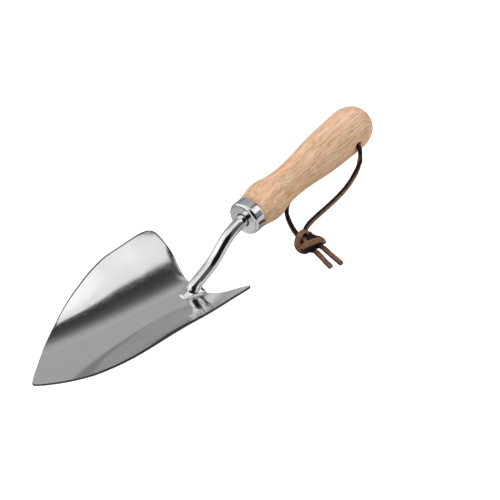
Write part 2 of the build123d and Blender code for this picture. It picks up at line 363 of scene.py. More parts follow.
def wood():
    m = Material("handle_hardwood")
    # growth rings: distance from a far, slightly tilted pith line, warped by slow noise
    from_pith = m.separate(m.coords(rot=(0.0, 0.035, -0.05), loc=(0.0, 0.055, 0.075)))
    slow = m.stretched((9, 42, 42), detail=3, rough=0.5)
    less_slow = m.stretched((26, 150, 150), loc=(3, 1, 2), detail=3, rough=0.6)
    distance = m.math("SQRT", m.plus(m.math("POWER", from_pith["Y"], 2.0),
                                     m.math("POWER", from_pith["Z"], 2.0)))
    distance = m.plus(distance, m.times(slow, 0.016))
    distance = m.plus(distance, m.times(less_slow, 0.0022))
    rings_per_metre = 520.0
    ring = m.math("FRACT", m.times(distance, rings_per_metre))
    band = m.ramp(ring, [(0.0, 0.15), (0.55, 0.55), (0.86, 1.0), (0.93, 0.35), (1.0, 0.15)],
                  interpolation="EASE")

    # fibres, patches of hue and open pores, all long along the handle
    fibre = m.stretched((16, 980, 980), detail=6, rough=0.70)
    streak = m.stretched((11, 400, 400), loc=(5, 0, 0), detail=5, rough=0.68)
    dash = m.stretched((70, 820, 820), loc=(4, 8, 1), detail=4, rough=0.65)
    pores = m.stretched((85, 1750, 1750), loc=(1, 2, 3), detail=2, rough=0.5)
    pore_mask = m.ramp(pores, [(0.57, 0.0), (0.66, 1.0)])
    pink_patch = m.stretched((24, 105, 105), loc=(7, 7, 7), detail=4, distort=0.6)
    olive_patch = m.stretched((20, 130, 130), loc=(2, 9, 4), detail=4, distort=0.6)
    orange_patch = m.stretched((13, 80, 80), loc=(9, 1, 6), detail=3)

    pale, mid, warm = (0.735, 0.480, 0.300), (0.660, 0.385, 0.215), (0.485, 0.250, 0.122)
    colour = m.mix(band, pale, mid)
    colour = m.mix(m.ramp(streak, [(0.46, 0.0), (0.64, 0.80)]), colour, warm)
    # noise, its ramp, how strongly it shows, colour
    layers = [
        (pink_patch, [(0.47, 0.0), (0.60, 1.0)], 0.62, (0.800, 0.490, 0.375)),
        (olive_patch, [(0.49, 0.0), (0.62, 1.0)], 0.62, (0.580, 0.430, 0.235)),
        (orange_patch, [(0.50, 0.0), (0.64, 1.0)], 0.62, (0.830, 0.455, 0.215)),
        (fibre, [(0.50, 0.0), (0.66, 1.0)], 0.54, (0.340, 0.170, 0.088)),
        (fibre, [(0.34, 1.0), (0.47, 0.0)], 0.66, (0.840, 0.650, 0.500)),
        (dash, [(0.56, 0.0), (0.65, 1.0)], 0.62, (0.820, 0.655, 0.545)),
    ]
    for noise, stops, strength, layer_colour in layers:
        colour = m.mix(m.times(m.ramp(noise, stops), strength), colour, layer_colour)
    colour = m.mix(m.times(pore_mask, 0.50), colour, (0.215, 0.110, 0.062))

    # a darker band just past the ferrule rim, and near-black painted shade on the wood inside
    # the ferrule
    x = m.separate(m.coords())["X"]
    past_rim = m.math("MULTIPLY", m.math("SUBTRACT", x, FERRULE_REAR * MM), 300.0, clamp=True)
    near_rim = m.ramp(past_rim, [(0.0, 1.0), (1.0, 0.0)])
    colour = m.mix(m.times(near_rim, 0.35), colour, (0.30, 0.15, 0.08))
    # painted shade: the wood seen through the gap round the neck is made near-black
    inside = m.math("LESS_THAN", x, (FERRULE_REAR - 0.1) * MM)
    colour = m.mix(m.times(inside, 0.88), colour, (0.020, 0.013, 0.010))

    roughness = m.plus(m.times(fibre, 0.18), 0.36)
    m.put_all(m.bsdf, {
        "Base Color": colour,
        "Roughness": m.plus(roughness, m.times(pore_mask, 0.15)),
        "Coat Weight": 0.12,
        "Coat Roughness": 0.35,
        "Subsurface Weight": 0.04,
        "Subsurface Radius": (0.002, 0.001, 0.0005),
    })
    m.bumps((fibre, 0.22, 0.00012),
            (m.math("SUBTRACT", 1.0, pore_mask), 0.35, 0.00010),
            (ring, 0.05, 0.0001))
    return m.material


def leather():
    """Waxed dark face and paler suede cut sides, mixed by a per-vertex attribute; in the knot
    and on the ends that attribute is painted light, pale where the surface looks up.
    """
    m = Material("thong_leather")
    coords = m.coords()
    # the attribute gives pale suede on the cut sides, and painted light in the knot and on the
    # ends
    suede_and_painted_light = m.new("ShaderNodeAttribute", attribute_name="suede_and_painted_light").outputs["Fac"]
    mottle = m.noise(coords, scale=420, detail=5, rough=0.6)
    fine = m.noise(coords, scale=2400, detail=4, rough=0.7)
    creases = m.ramp(m.cell_edges(coords, scale=1500), [(0.0, 0.0), (0.18, 1.0)])

    dark = m.mix(m.ramp(mottle, [(0.35, 0.0), (0.7, 1.0)]),
                 (0.0045, 0.0026, 0.0022), (0.0145, 0.0070, 0.0055))
    pale = m.mix(m.ramp(mottle, [(0.30, 0.0), (0.72, 1.0)]),
                 (0.115, 0.056, 0.032), (0.340, 0.185, 0.105))
    pale = m.mix(m.times(m.ramp(fine, [(0.45, 0.0), (0.75, 1.0)]), 0.5),
                 pale, (0.040, 0.019, 0.012))
    ragged = m.plus(suede_and_painted_light, m.times(m.math("SUBTRACT", fine, 0.5), 0.45))
    paleness = m.ramp(ragged, [(0.30, 0.0), (0.62, 1.0)])

    roughness = m.new("ShaderNodeMix", data_type="FLOAT")
    waxed_roughness, suede_roughness = 0.55, 0.90
    for index, value in ((0, paleness), (2, waxed_roughness), (3, suede_roughness)):
        m.put(roughness.inputs[index], value)
    variation = m.times(m.math("SUBTRACT", mottle, 0.5), 0.2)
    m.put_all(m.bsdf, {
        "Base Color": m.mix(paleness, dark, pale),
        "Roughness": m.plus(roughness.outputs[0], variation),
        "Specular IOR Level": 0.22,
    })
    m.bumps((creases, 0.35, 0.00012),
            (fine, 0.45, 0.00015),
            (mottle, 0.30, 0.00030))
    return m.material


def resin():
    m = Material("set_resin")
    cloud = m.noise(m.coords(), scale=300, detail=4)
    m.put_all(m.bsdf, {
        "Base Color": m.mix(cloud, (0.42, 0.33, 0.17), (0.60, 0.50, 0.30)),
        "Roughness": m.plus(m.times(cloud, 0.3), 0.3),
    })
    m.bumps((m.noise(m.coords(), scale=900, detail=3), 0.4, 0.0002))
    return m.material


blade_steel = steel("blade_satin_steel", tint=(0.755, 0.76, 0.77), rough=0.045,
                    brush_scale=(25, 1100, 1100), brush=0.6, scratch=0.08, turn=-BLADE_TILT)
# the edge faces get near-black steel: painted shade for the dark line along the rim
painted_shade_edge = steel("blade_edge_painted_shade", tint=(0.085, 0.083, 0.085), rough=0.30,
                   brush_scale=(900, 900, 60), brush=1.0, scratch=0.1)
neck_steel = steel("neck_polished_steel", tint=(0.80, 0.80, 0.80), rough=0.035,
                   brush_scale=(40, 700, 700), brush=0.35, scratch=0.08, turn=-0.5)
weld_metal = steel("weld_polished_steel", tint=(0.84, 0.84, 0.84), rough=0.10,
                   brush_scale=(300, 300, 300), brush=0.8, scratch=0.1)
ferrule_steel = steel("ferrule_polished_steel", tint=(0.72, 0.725, 0.73), rough=0.12,
                      brush_scale=(1400, 60, 60), brush=0.4, scratch=0.02)
wood_mat = wood()
leather_mat = leather()
resin_mat = resin()

# ---------------------------------------------------------------------------
# blade plane: s runs from the tip to the handle, y is across, h stands off the top
# ---------------------------------------------------------------------------
BLADE_ORIGIN = np.array([-56.4, 0.0, -25.7])
# rows: the s, y and h axes
BLADE_AXES = np.array([
    [math.cos(BLADE_TILT), 0, -math.sin(BLADE_TILT)],
    [0, 1, 0],
    [math.sin(BLADE_TILT), 0, math.cos(BLADE_TILT)],
])
# s, y of one side's edge from the tip to the rear corner
RIM = [
    (-148.2, 0.0), (-147.6, 1.25), (-145.9, 2.75), (-142.9, 4.85), (-136.9, 8.7),
    (-130.4, 12.65), (-125.0, 15.75), (-119.6, 18.85), (-114.4, 21.35),
    (-108.9, 23.75), (-102.8, 26.2), (-96.8, 28.6), (-90.6, 30.75), (-83.9, 32.75),
    (-76.8, 34.5), (-69.6, 36.15), (-62.4, 37.75), (-55.6, 39.05), (-48.4, 40.3),
    (-39.8, 41.15), (-29.8, 41.6), (-19.8, 42.1), (-11.0, 42.5), (-5.6, 42.4),
]
# s, y from the rear corner to the middle of the rear edge
REAR = [
    (-2.2, 41.95), (0.6, 41.05), (2.5, 39.7), (4.0, 37.4), (5.4, 34.0), (6.5, 30.4),
    (6.9, 27.0), (6.7, 23.6), (6.0, 20.2), (5.1, 16.2), (4.4, 12.0), (4.0, 6.0), (4.0, 0.0),
]
REAR_CORNER = np.array([-0.8, 41.6])
# s, curvature across the blade, half width, share of the fourth-power term
DISH = np.array([
    (-152.0, 0.00402, 13.0, -0.041), (-141.0, 0.00537, 13.2, -0.061),
    (-130.0, 0.00704, 13.4, -0.080), (-119.5, 0.00878, 18.4, -0.097),
    (-109.0, 0.01050, 23.7, -0.115), (-98.8, 0.01205, 27.5, -0.133),
    (-88.6, 0.01343, 31.3, -0.146), (-77.8, 0.01463, 34.1, -0.146),
    (-66.9, 0.01529, 36.9, -0.107), (-55.6, 0.01521, 38.6, -0.012),
    (-44.3, 0.01486, 40.4, 0.096), (-32.6, 0.01479, 41.4, 0.175),
    (-21.0, 0.01493, 42.3, 0.229), (-10.2, 0.01506, 41.9, 0.275),
    (0.6, 0.01513, 41.6, 0.331), (6.3, 0.01513, 41.6, 0.368),
    (12.0, 0.01508, 41.6, 0.412),
])


def eased_dish():
    """The station table read with a soft step, then smoothed over about 4 mm."""
    stations = np.linspace(-155, 13, 337)       # every 0.5 mm
    i = np.clip(np.searchsorted(DISH[:, 0], stations) - 1, 0, len(DISH) - 2)
    t = np.clip((stations - DISH[i, 0]) / (DISH[i + 1, 0] - DISH[i, 0]), 0, 1)
    t = smoothstep(t) * 0.35 + t * 0.65
    raw = DISH[i, 1:] + (DISH[i + 1, 1:] - DISH[i, 1:]) * t[:, None]
    reach = 40
    kernel = np.exp(-0.5 * (np.arange(-reach, reach + 1) * 0.5 / 4.0) ** 2)
    kernel /= kernel.sum()
    padded = np.pad(raw, ((reach, reach), (0, 0)), "edge")
    return stations, [np.convolve(column, kernel, "valid") for column in padded.T]


DISH_STATIONS, DISH_COLUMNS = eased_dish()


def dish(s, y):
    """Height of the blade's top face."""
    curve, half, share = (np.interp(s, DISH_STATIONS, column) for column in DISH_COLUMNS)
    return curve * (1 + share) * y * y - curve * share * y ** 4 / half ** 2


def dish_normal(s, y):
    e = 0.4
    slope_s = (dish(s + e, y) - dish(s - e, y)) / (2 * e)
    slope_y = (dish(s, y + e) - dish(s, y - e)) / (2 * e)
    return unit(np.stack([-slope_s, -slope_y, np.ones_like(slope_s)], -1))


def sheet_points(s, y, depth):
    """Points at a depth below the top face, as rows of (s, y, h)."""
    points = np.stack([s, y, dish(s, y)], -1) - dish_normal(s, y) * depth
    return points.reshape(-1, 3)


def from_blade(points):
    """Blade plane (s, y, h) to the trowel's x, y, z."""
    return np.asarray(points) @ BLADE_AXES + BLADE_ORIGIN


# ---------------------------------------------------------------------------
# blade: dished sheet on quads that follow its outline, with a rounded cut edge
# ---------------------------------------------------------------------------
BLADE_ROWS, BLADE_HALF_COLUMNS = 150, 30
# outward offset from the outline, depth below the top face
EDGE_SECTION = [(-0.16, 0.045), (-0.03, 0.17), (0.0, 0.40), (0.0, 0.72), (-0.12, 1.02),
                (-0.28, 1.30)]
EDGE_INSET = 0.60
TIP_INSET = 0.35


def blade_grid():
    """s and y of the full-width grid, without the tip point, and the tip's s."""
    outline = spline_through(RIM + REAR, 0.25, ends=((0.9, 2.4), (0, -2.4)))
    corner = int(np.argmin(np.linalg.norm(outline - REAR_CORNER, axis=1)))
    rim = outline[:corner + 1]
    rear = outline[corner:][::-1]               # from the middle to the corner
    t = np.linspace(0, 1, BLADE_ROWS + 1)[1:, None]
    along = 0.35 * t ** 2 + 0.65 * t ** 1.25
    across = np.linspace(0, 1, BLADE_HALF_COLUMNS + 1)
    across = 0.75 * across + 0.25 * np.sin(across * np.pi / 2)

    tip_s = outline[0, 0]
    middle_s = tip_s + (rear[0, 0] - tip_s) * along
    rim_s = tip_s + (rim[-1, 0] - tip_s) * along
    rim_y = np.interp(rim_s, rim[:, 0], rim[:, 1])
    # the rear edge is read half by y and half by its length
    length = np.r_[0, np.cumsum(np.linalg.norm(np.diff(rear, axis=0), axis=1))]
    length /= length[-1]
    place = 0.5 * rear[:, 1] / rear[-1, 1] + 0.5 * length
    rear_s = np.interp(across, place, rear[:, 0])
    rear_y = np.interp(across, place, rear[:, 1])
    # the rear edge's curve fades out over the rows ahead of it
    fade = along ** 6
    s = ((1 - across) * middle_s + across * rim_s
         + fade * (rear_s - ((1 - across) * rear_s[0] + across * rear_s[-1])))
    y = across * rim_y + fade * (rear_y - across * rear_y[-1])
    s = np.concatenate([s[:, :0:-1], s], 1)
    y = np.concatenate([-y[:, :0:-1], y], 1)
    return s, y, tip_s


def build_blade():
    s, y, tip_s = blade_grid()
    rows, columns = s.shape
    # boundary loop: -Y rim from tip to rear, rear edge, +Y rim back to the tip
    loop = ([(i, 0) for i in range(rows)]
            + [(rows - 1, j) for j in range(1, columns)]
            + [(i, columns - 1) for i in range(rows - 2, -1, -1)])
    loop_i, loop_j = np.array(loop).T
    tip = np.array([tip_s, 0.0])
    boundary = np.vstack([[tip], np.stack([s[loop_i, loop_j], y[loop_i, loop_j]], 1)])
    tangent = unit(np.roll(boundary, -1, 0) - np.roll(boundary, 1, 0))
    outward = np.stack([-tangent[:, 1], tangent[:, 0]], 1)
    inside_point = np.array([-60.0, 0.0])
    if np.mean(((boundary - inside_point) * outward).sum(1)) < 0:
        outward = -outward

    # the faces' boundary moves in a little so that the rounded edge fits
    inner_i = np.minimum(loop_i, rows - 2)
    inner_j = np.clip(loop_j, 1, columns - 2)
    room = np.hypot(s[inner_i, inner_j] - s[loop_i, loop_j],
                    y[inner_i, inner_j] - y[loop_i, loop_j])
    inset = np.minimum(EDGE_INSET, 0.45 * room)
    s[loop_i, loop_j] -= outward[1:, 0] * inset
    y[loop_i, loop_j] -= outward[1:, 1] * inset
    face_tip = tip - outward[0] * TIP_INSET

    verts = [sheet_points(s, y, depth) for depth in (0.0, BLADE_THICK)]
    verts += [sheet_points(face_tip[:1], face_tip[1:], depth) for depth in (0.0, BLADE_THICK)]
    below = rows * columns                      # from a top vertex to the one under it
    tip_top, tip_bottom = 2 * below, 2 * below + 1
    faces = []
    for i in range(rows - 1):
        for j in range(columns - 1):
            a = i * columns + j
            b, c, d = a + 1, a + columns + 1, a + columns
            faces.append((a, d, c, b))
            faces.append((a + below, b + below, c + below, d + below))
    for j in range(columns - 1):
        faces.append((tip_top, j, j + 1))
        faces.append((tip_bottom, below + j + 1, below + j))
    face_materials = [0] * len(faces)

    count = len(boundary)
    top_ring = [tip_top] + [i * columns + j for i, j in loop]
    rings = [top_ring]
    start = tip_bottom + 1
    for offset, depth in EDGE_SECTION:
        ring = boundary + outward * offset
        verts.append(sheet_points(ring[:, 0], ring[:, 1], depth))
        rings.append(list(range(start, start + count)))
        start += count
    rings.append([tip_bottom] + [i + below for i in top_ring[1:]])
    for number, (upper, lower) in enumerate(zip(rings, rings[1:])):
        faces += bridge(upper, lower)
        # the last band, on the underside, is finished like the faces
        face_materials += [1 if number < len(EDGE_SECTION) else 0] * count
    return make_object("blade_sheet", from_blade(np.vstack(verts)), faces,
                       [blade_steel, painted_shade_edge], face_materials=face_materials)


attach(build_blade(), replaces="blade")

# ---------------------------------------------------------------------------
# neck: tang, bent rod and foot as one smooth body
# ---------------------------------------------------------------------------
TANG_END = 60.0
# x, z of the rod's centre line from the ferrule down to the blade
NECK_PATH = [
    (FERRULE_FRONT, 0.0), (-12.2, -0.55), (-18.2, -2.1), (-22.6, -4.1), (-25.7, -6.1),
    (-28.9, -8.7), (-32.2, -11.35), (-36.1, -13.9), (-40.1, -15.85),
    (-44.4, -17.35), (-50.6, -19.3), (-57.4, -21.7),
]
# the foot in the blade plane: stations s against its half width, and against its crest
FOOT_HALF_WIDTH = ([-11.0, -10.2, -0.6, 3.4, 4.2], [2.0, 2.75, 5.9, 7.2, 7.3])
FOOT_CREST = ([-11.2, -10.0, -7.0, -3.0, 1.0, 4.0], [0.9, 1.7, 3.3, 5.0, 5.6, 5.2])
FOOT_SPAN = (-11.2, 3.9)
FOOT_EDGE_HEIGHT = 0.75
FOOT_LENGTH_STEPS, FOOT_WIDTH_STEPS = 40, 28


def sweep(path, radii, segments):
    """Round bar along a path, flat at its start and domed at its end."""
    tangents = tangents_of(path)
    side = square_to(np.tile([0.0, 1.0, 0.0], (len(path), 1)), tangents)
    up = np.cross(tangents, side)
    sections = list(zip(path, side, up, radii))
    end, end_radius = path[-1], radii[-1]
    for angle in np.linspace(0, math.pi / 2, 14)[1:-1]:
        sections.append((end + tangents[-1] * end_radius * math.sin(angle),
                         side[-1], up[-1], end_radius * math.cos(angle)))
    verts = []
    for centre, across, upward, radius in sections:
        verts += [centre + radius * (math.cos(a) * across + math.sin(a) * upward)
                  for a in np.arange(segments) * 2 * np.pi / segments]
    rings = np.arange(len(verts)).reshape(-1, segments)
    first, last = len(verts), len(verts) + 1
    verts += [path[0], end + tangents[-1] * end_radius]
    faces = []
    for ring_a, ring_b in zip(rings, rings[1:]):
        faces += bridge(ring_a, ring_b)
    for i in range(segments):
        j = (i + 1) % segments
        faces.append((first, rings[0][j], rings[0][i]))
        faces.append((last, rings[-1][i], rings[-1][j]))
    return np.array(verts), faces


def foot_mesh(start):
    """Roofed tongue lying on the dish. Its vertex numbers begin at start."""
    nl, nw = FOOT_LENGTH_STEPS, FOOT_WIDTH_STEPS
    stations = np.linspace(*FOOT_SPAN, nl + 1)[:, None]
    across = np.linspace(-1, 1, nw + 1)
    y = across * np.interp(stations, *FOOT_HALF_WIDTH)
    s = stations + 0 * y
    ridge = (1 - np.abs(across)) ** 0.92
    rise = (np.interp(stations, *FOOT_CREST) - FOOT_EDGE_HEIGHT) * ridge
    top = np.stack([s, y, dish(s, y) + FOOT_EDGE_HEIGHT + rise], -1)
    bottom = np.stack([s, y, dish(s, y) + 0.015], -1)

    def at(i, j, layer):
        return start + layer * (nl + 1) * (nw + 1) + i * (nw + 1) + j

    faces = []
    for i in range(nl):
        for j in range(nw):
            faces.append((at(i, j, 0), at(i, j + 1, 0), at(i + 1, j + 1, 0), at(i + 1, j, 0)))
            faces.append((at(i, j, 1), at(i + 1, j, 1), at(i + 1, j + 1, 1), at(i, j + 1, 1)))
    for i in range(nl):
        faces.append((at(i, 0, 0), at(i + 1, 0, 0), at(i + 1, 0, 1), at(i, 0, 1)))
        faces.append((at(i, nw, 0), at(i, nw, 1), at(i + 1, nw, 1), at(i + 1, nw, 0)))
    for j in range(nw):
        faces.append((at(0, j, 0), at(0, j, 1), at(0, j + 1, 1), at(0, j + 1, 0)))
        faces.append((at(nl, j, 0), at(nl, j + 1, 0), at(nl, j + 1, 1), at(nl, j, 1)))
    return from_blade(np.vstack([top.reshape(-1, 3), bottom.reshape(-1, 3)])), faces


def round_bar(points, path, radii):
    """Puts the bar back on its exact round section, away from the foot."""
    nearest = np.zeros(len(points), int)
    chunk = 20000
    for start in range(0, len(points), chunk):
        gaps = points[start:start + chunk, None, :] - path[None]
        nearest[start:start + chunk] = (gaps ** 2).sum(2).argmin(1)
    tangents = tangents_of(path)[nearest]
    centres = path[nearest]
    along = ((points - centres) * tangents).sum(1)
    centres = centres + tangents * along[:, None]
    radial = points - centres
    distance = np.linalg.norm(radial, axis=1)
    exact = centres + (radial / np.maximum(distance, 1e-6)[:, None]
                       * radii[nearest][:, None])
    x = centres[:, 0]
    weight = smoothstep(np.clip((x + 47.5) / 4.5, 0, 1))
    # the tang's end and points close to the centre line stay
    weight = np.where(x > 57.0, 0, weight)[:, None]
    return np.where((distance > 1.0)[:, None], points * (1 - weight) + exact * weight, points)


def lift_foot(points):
    """Keeps the foot from sinking into the sheet."""
    local = (points - BLADE_ORIGIN) @ BLADE_AXES.T
    s, y, h = local.T
    lowest = dish(s, y) + 0.01
    zone = (s > -14) & (s < 4.6) & (np.abs(y) < 10)
    local[:, 2] = np.where(zone & (h < lowest), lowest, h)
    return np.where(zone[:, None], from_blade(local), points)


def build_neck():
    centre_line = spline_through(NECK_PATH, 0.8, ends=((-2.5, 0), (-2.3, -0.95)))
    tang = np.zeros((59, 3))
    tang[:, 0] = np.linspace(TANG_END, FERRULE_FRONT, 60)[:-1]
    path = np.vstack([tang, np.insert(centre_line, 1, 0.0, axis=1)])
    radii = np.interp(path[:, 0], [10, 58, TANG_END], [NECK_RADIUS, 2.9, 1.6])
    bar_verts, bar_faces = sweep(path, radii, 56)
    foot_verts, foot_faces = foot_mesh(len(bar_verts))
    obj = make_object("neck_rod", np.vstack([bar_verts, foot_verts]), bar_faces + foot_faces,
                      [neck_steel])
    remesh = obj.modifiers.new("join", "REMESH")
    remesh.mode = "VOXEL"
    remesh.voxel_size = 0.00038
    remesh.use_smooth_shade = True
    ease = obj.modifiers.new("ease", "SMOOTH")
    ease.factor = 0.5
    ease.iterations = 10
    apply_modifiers(obj)

    mesh = obj.data
    flat = np.empty(len(mesh.vertices) * 3)
    mesh.vertices.foreach_get("co", flat)
    points = lift_foot(round_bar(flat.reshape(-1, 3) / MM, path, radii))
    mesh.vertices.foreach_set("co", (points * MM).ravel())
    mesh.update()
    shade_smooth(obj)
    return obj


attach(build_neck(), replaces="neck")

# ---------------------------------------------------------------------------
# weld: fillet bead round the two sides and the tip-side end of the foot
# ---------------------------------------------------------------------------
# s, y of the +Y half
WELD_SIDE = [(3.3, 7.35), (1.4, 6.75), (-0.6, 6.05), (-4.0, 4.95), (-8.0, 3.65),
             (-10.4, 2.85), (-11.35, 1.6), (-11.6, 0.0)]
# outward offset, height above the sheet
WELD_SECTION = [(-1.0, 0.02), (-1.0, 1.15), (-0.62, 1.32), (-0.1, 1.1), (0.35, 0.78),
                (0.75, 0.42), (1.1, 0.12), (1.25, 0.02)]
WELD_STEP = 0.22
WELD_TAPER_STEPS = 16.0


def build_weld():
    line = spline_through(WELD_SIDE + [(s, -y) for s, y in reversed(WELD_SIDE[:-1])],
                          WELD_STEP)
    tangent = tangents_of(line)
    outward = np.stack([-tangent[:, 1], tangent[:, 0]], 1)
    foot_middle = np.array([-3, 0])
    if (outward * (line - foot_middle)).sum() < 0:
        outward = -outward
    count = len(line)
    length = np.arange(count) * WELD_STEP
    ripple = 0.06 * np.sin(length * 2 * np.pi / 0.9) + 0.05 * np.sin(length * 2.1 + 1)
    verts = []
    for i in range(count):
        steps_in = min(i, count - 1 - i) + 0.3
        taper = min(1.0, steps_in / WELD_TAPER_STEPS) ** 0.7
        for offset, height in WELD_SECTION:
            reach = offset * (0.9 + ripple[i] * (offset > -0.9))
            if offset > 0:
                reach *= 0.35 + 0.65 * taper
            s, y = line[i] + outward[i] * reach
            rise = max(0.02, height * taper * (1 + ripple[i]))
            verts.append([s, y, float(dish(s, y)) + rise])
    rings = np.arange(len(verts)).reshape(count, -1)
    faces = []
    for ring_a, ring_b in zip(rings, rings[1:]):
        faces += bridge(ring_a, ring_b)
    faces += [rings[0], rings[-1][::-1]]
    obj = make_object("weld_fillet", from_blade(np.array(verts)), faces, [weld_metal])
    subdivision = obj.modifiers.new("sub", "SUBSURF")
    subdivision.levels = subdivision.render_levels = 1
    apply_modifiers(obj)
    shade_smooth(obj)
    return obj


attach(build_weld(), replaces="weld_bead")

# ---------------------------------------------------------------------------
# ferrule: thin cup with a hole for the neck and a rounded shoulder
# ---------------------------------------------------------------------------
FERRULE_HOLE = 4.9
HOLE_LIP = 0.3
SHOULDER = 2.2
RIM_ROUND = 0.25
BEVEL = 0.05


def build_ferrule():
    front, rear, radius = FERRULE_FRONT, FERRULE_REAR, FERRULE_RADIUS
    inner_front = front + FERRULE_WALL
    bend_x, bend_r = front + SHOULDER, radius - SHOULDER
    profile = arc(front + HOLE_LIP, FERRULE_HOLE + HOLE_LIP, HOLE_LIP, 270, 180, 6)
    profile += [(front, r) for r in np.linspace(5.4, bend_r, 10)[1:-1]]
    profile += arc(bend_x, bend_r, SHOULDER, 180, 90, 20)
    profile += [(x, radius) for x in np.linspace(bend_x, rear - RIM_ROUND, 8)[1:-1]]
    profile += arc(rear - RIM_ROUND, radius - RIM_ROUND, RIM_ROUND, 90, 0, 6)
    profile += [(rear, FERRULE_BORE + BEVEL), (rear - BEVEL, FERRULE_BORE)]
    profile += [(x, FERRULE_BORE) for x in np.linspace(rear - 0.3, bend_x, 6)]
    profile += arc(bend_x, bend_r, SHOULDER - FERRULE_WALL, 90, 180, 10)[1:]
    profile += [(inner_front, r) for r in np.linspace(radius - 2.6, 5.3, 6)]
    profile += [(inner_front, FERRULE_HOLE + BEVEL), (inner_front - BEVEL, FERRULE_HOLE)]
    verts, faces = lathe(profile, 160, closed=True)
    return make_object("ferrule_cup", verts, faces, [ferrule_steel], sharp=50)


attach(build_ferrule(), replaces="ferrule")

# ---------------------------------------------------------------------------
# handle: turned outline with tenon, tang bore and flared strap hole
# ---------------------------------------------------------------------------
# x, radius
HANDLE = [
    (HANDLE_FRONT, 11.95), (6.0, 12.3), (9.2, 12.85), (12.6, 13.55), (16.0, 14.15),
    (19.2, 14.25), (22.8, 13.85), (26.6, 13.05), (30.6, 12.38), (35.0, 11.88),
    (42.6, 11.60), (50.6, 11.81), (58.6, 12.42), (66.6, 13.30), (74.6, 14.16),
    (82.6, 14.79), (90.6, 15.16), (98.6, 15.42), (106.6, 15.74), (112.5, 15.80),
]
BUTT = [HANDLE[-1], (118.0, 15.15), (122.6, 13.55), (126.4, 10.9), (129.2, 7.2), (130.9, 0.0)]
FRONT_BEVEL = [(HANDLE_FRONT, 11.75), (3.42, 11.99)]
TENON_RADIUS = FERRULE_BORE - 0.02
TENON_FRONT = FERRULE_FRONT + FERRULE_WALL + 0.25
BORE_RADIUS = 5.0
# y, radius of the strap hole's -Y mouth, from outside the wood inwards
HOLE_MOUTH = [(-17.5, 5.6), (-16.4, 4.35), (-15.9, 3.72), (-15.5, 3.33), (-15.0, 3.1),
              (-14.3, HOLE_RADIUS)]


def strap_hole_cutter():
    end = HOLE_MOUTH[0][0]
    profile = [(end, 0.0)] + HOLE_MOUTH
    profile += [(y, HOLE_RADIUS) for y in np.linspace(-12, 12, 7)]
    profile += [(-y, r) for y, r in reversed(HOLE_MOUTH)] + [(-end, 0.0)]
    verts, faces = lathe(profile, 72)
    along_y = np.array(verts)[:, [1, 0, 2]] + np.array([HOLE_X, 0, 0])
    return make_object("cutter", along_y, faces, [wood_mat])


def build_handle():
    body = spline_through(HANDLE, 1.1)
    butt = spline_through(BUTT, 0.8, ends=((2.6, -0.05), (0, -3.2)))
    butt[-1, 1] = 0.0                           # exactly a pole
    outer = FRONT_BEVEL + [tuple(p) for p in body[1:]] + [tuple(p) for p in butt[1:]]
    inner = [(HANDLE_FRONT, TENON_RADIUS), (-2.2, TENON_RADIUS), (-3.6, 10.1),
             (TENON_FRONT, 9.1), (TENON_FRONT, BORE_RADIUS)]
    inner += [(x, BORE_RADIUS) for x in np.linspace(0, 62.5, 22)] + [(64.0, 0.0)]
    verts, faces = lathe(list(reversed(outer)) + inner, 176)
    obj = make_object("handle_wood", verts, faces, [wood_mat])
    cutter = strap_hole_cutter()
    cut = obj.modifiers.new("strap", "BOOLEAN")
    cut.operation = "DIFFERENCE"
    cut.object = cutter
    cut.solver = "EXACT"
    apply_modifiers(obj)
    bpy.data.objects.remove(cutter)
    shade_smooth(obj)
    obj.data.set_sharp_from_angle(angle=math.radians(48))
    return obj


attach(build_handle(), replaces="handle")

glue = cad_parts["tang_adhesive"]
glue.data.materials.clear()
glue.data.materials.append(resin_mat)

# ---------------------------------------------------------------------------
# leather thong: squared strip, two strands, one knot, two free ends
# ---------------------------------------------------------------------------
# x, y, z of the strip's centre line; the near strand leaves the hole on the -Y side
NEAR = [
    (HOLE_X, -4.0, 0.0), (HOLE_X, -9.0, 0.0), (HOLE_X, -13.2, 0.0), (102.8, -15.2, -0.15),
    (102.2, -17.2, -1.4), (101.0, -18.6, -3.8), (99.6, -19.7, -6.6), (97.6, -20.6, -9.4),
    (94.8, -21.3, -12.0), (91.0, -21.9, -14.2), (86.0, -22.8, -15.5), (78.0, -24.1, -16.2),
    (69.7, -24.8, -16.7), (60.4, -24.9, -17.3), (52.6, -24.6, -17.9), (44.2, -24.2, -18.5),
    (37.0, -24.2, -18.9), (32.0, -25.0, -18.8),
]
FAR = [
    (HOLE_X, 4.0, 0.0), (HOLE_X, 9.0, 0.0), (HOLE_X, 13.2, 0.0), (102.8, 15.2, -0.15),
    (102.2, 17.3, -1.5), (100.9, 19.2, -4.4), (98.4, 20.4, -8.2), (93.0, 20.3, -12.2),
    (84.0, 17.6, -15.2), (70.0, 11.4, -17.1), (55.0, 4.8, -18.2), (44.6, 0.2, -18.7),
    (36.0, -4.6, -19.1), (30.3, -10.6, -19.4), (27.0, -15.4, -19.6),
]
NEAR_IN_KNOT = [
    (28.37, -26.38, -18.5), (23.64, -30.36, -18.2), (20.59, -34.84, -18.8),
    (17.84, -38.19, -19.8), (12.83, -39.04, -19.0), (10.56, -35.76, -17.6),
    (11.41, -32.5, -15.6), (15.08, -30.49, -13.6), (20.8, -29.0, -14.3),
    (24.8, -31.0, -17.4), (26.8, -34.8, -19.8), (27.6, -39.2, -19.3),
    (25.72, -43.3, -17.0), (22.3, -42.9, -14.3), (16.83, -41.21, -12.9),
    (12.3, -39.4, -13.3), (10.6, -37.8, -15.4), (12.91, -37.9, -18.0),
    (18.08, -39.4, -19.4), (22.6, -42.2, -19.7),
]
FAR_IN_KNOT = [
    (24.19, -19.99, -19.6), (22.14, -24.07, -19.2), (19.52, -29.39, -17.8),
    (16.88, -35.0, -16.6), (16.5, -39.6, -17.8), (16.75, -42.6, -19.4),
]
